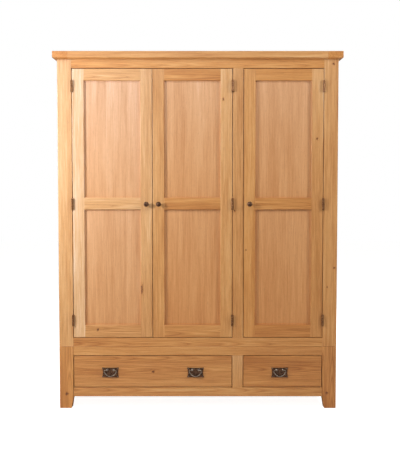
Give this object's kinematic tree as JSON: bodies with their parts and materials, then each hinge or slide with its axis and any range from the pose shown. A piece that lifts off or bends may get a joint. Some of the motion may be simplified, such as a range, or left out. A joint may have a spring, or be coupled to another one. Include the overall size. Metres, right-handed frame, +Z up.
{
  "type": "wardrobe with doors",
  "caption": "Free-standing oak wardrobe with framed panel doors over a drawer base, a bevelled overhanging top, round knobs and drop bail drawer handles.",
  "frame": {"origin": "on the floor, at the middle of the overall width and depth", "axes": "+Z up, -Y towards the front with the doors, +X to the right as seen from the front"},
  "size_m": [1.527, 0.6, 1.9],
  "materials": {
    "oak": "waxed honey oak, straight grain with cathedral figure and small knots, satin",
    "panel_oak": "waxed pinker oak veneer in vertical leaves, satin",
    "inner_oak": "plain lacquered light wood for drawer boxes and backs, matt",
    "antique_bronze": "dark antique bronze, cast, slightly worn at the edges",
    "worn_pewter": "antique pewter bronze rubbed bright, semi-gloss",
    "steel": "satin nickelled steel tube"
  },
  "bodies": {
    "carcass": {"top_panel": "oak", "left_side": "oak", "left_front_post": "oak", "right_side": "oak", "right_front_post": "oak", "centre_post": "oak", "upper_top_rail": "oak", "cupboard_floor": "oak", "back_panel": "inner_oak", "wide_hanging_rail": "steel", "narrow_hanging_rail": "steel", "base_left_end": "oak", "base_right_end": "oak", "base_top_rail": "oak", "base_bottom_rail": "oak", "drawer_divider": "oak", "base_back": "inner_oak", "left_door_top_hinge": "antique_bronze", "left_door_middle_hinge": "antique_bronze", "left_door_bottom_hinge": "antique_bronze", "middle_door_top_hinge": "antique_bronze", "middle_door_middle_hinge": "antique_bronze", "middle_door_bottom_hinge": "antique_bronze", "right_door_top_hinge": "antique_bronze", "right_door_middle_hinge": "antique_bronze", "right_door_bottom_hinge": "antique_bronze"},
    "left_door": {"left_door_left_stile": "oak", "left_door_right_stile": "oak", "left_door_bottom_rail": "oak", "left_door_mid_rail": "oak", "left_door_top_rail": "oak", "left_door_lower_panel": "panel_oak", "left_door_upper_panel": "panel_oak", "left_door_knob": "antique_bronze"},
    "middle_door": {"middle_door_left_stile": "oak", "middle_door_right_stile": "oak", "middle_door_bottom_rail": "oak", "middle_door_mid_rail": "oak", "middle_door_top_rail": "oak", "middle_door_lower_panel": "panel_oak", "middle_door_upper_panel": "panel_oak", "middle_door_knob": "antique_bronze"},
    "right_door": {"right_door_left_stile": "oak", "right_door_right_stile": "oak", "right_door_bottom_rail": "oak", "right_door_mid_rail": "oak", "right_door_top_rail": "oak", "right_door_lower_panel": "panel_oak", "right_door_upper_panel": "panel_oak", "right_door_knob": "antique_bronze"},
    "wide_drawer": {"wide_drawer_front": "oak", "wide_drawer_box": "inner_oak", "wide_left_handle_plate": "antique_bronze", "wide_right_handle_plate": "antique_bronze"},
    "narrow_drawer": {"narrow_drawer_front": "oak", "narrow_drawer_box": "inner_oak", "narrow_handle_plate": "antique_bronze"},
    "wide_left_bail": {"wide_left_handle_bail": "worn_pewter"},
    "wide_right_bail": {"wide_right_handle_bail": "worn_pewter"},
    "narrow_bail": {"narrow_handle_bail": "worn_pewter"}
  },
  "joints": [
    {"name": "left_door_hinge", "type": "hinge", "parent": "carcass", "child": "left_door", "pos_m": [-0.665, -0.2763, 1.0975], "axis": [0, 0, -1], "range_deg": [0, 110]},
    {"name": "middle_door_hinge", "type": "hinge", "parent": "carcass", "child": "middle_door", "pos_m": [0.18333, -0.2763, 1.0975], "axis": [0, 0, 1], "range_deg": [0, 110]},
    {"name": "right_door_hinge", "type": "hinge", "parent": "carcass", "child": "right_door", "pos_m": [0.665, -0.2763, 1.0975], "axis": [0, 0, 1], "range_deg": [0, 110]},
    {"name": "wide_drawer_slide", "type": "slide", "parent": "carcass", "child": "wide_drawer", "axis": [0, -1, 0], "range_m": [0, 0.38]},
    {"name": "narrow_drawer_slide", "type": "slide", "parent": "carcass", "child": "narrow_drawer", "axis": [0, -1, 0], "range_m": [0, 0.38]},
    {"name": "wide_left_bail_swing", "type": "hinge", "parent": "wide_drawer", "child": "wide_left_bail", "pos_m": [-0.46883, -0.2818, 0.2085], "axis": [-1, 0, 0], "range_deg": [0, 80]},
    {"name": "wide_right_bail_swing", "type": "hinge", "parent": "wide_drawer", "child": "wide_right_bail", "pos_m": [-0.01283, -0.2818, 0.2085], "axis": [-1, 0, 0], "range_deg": [0, 80]},
    {"name": "narrow_bail_swing", "type": "hinge", "parent": "narrow_drawer", "child": "narrow_bail", "pos_m": [0.43867, -0.2818, 0.2085], "axis": [-1, 0, 0], "range_deg": [0, 80]}
  ]
}
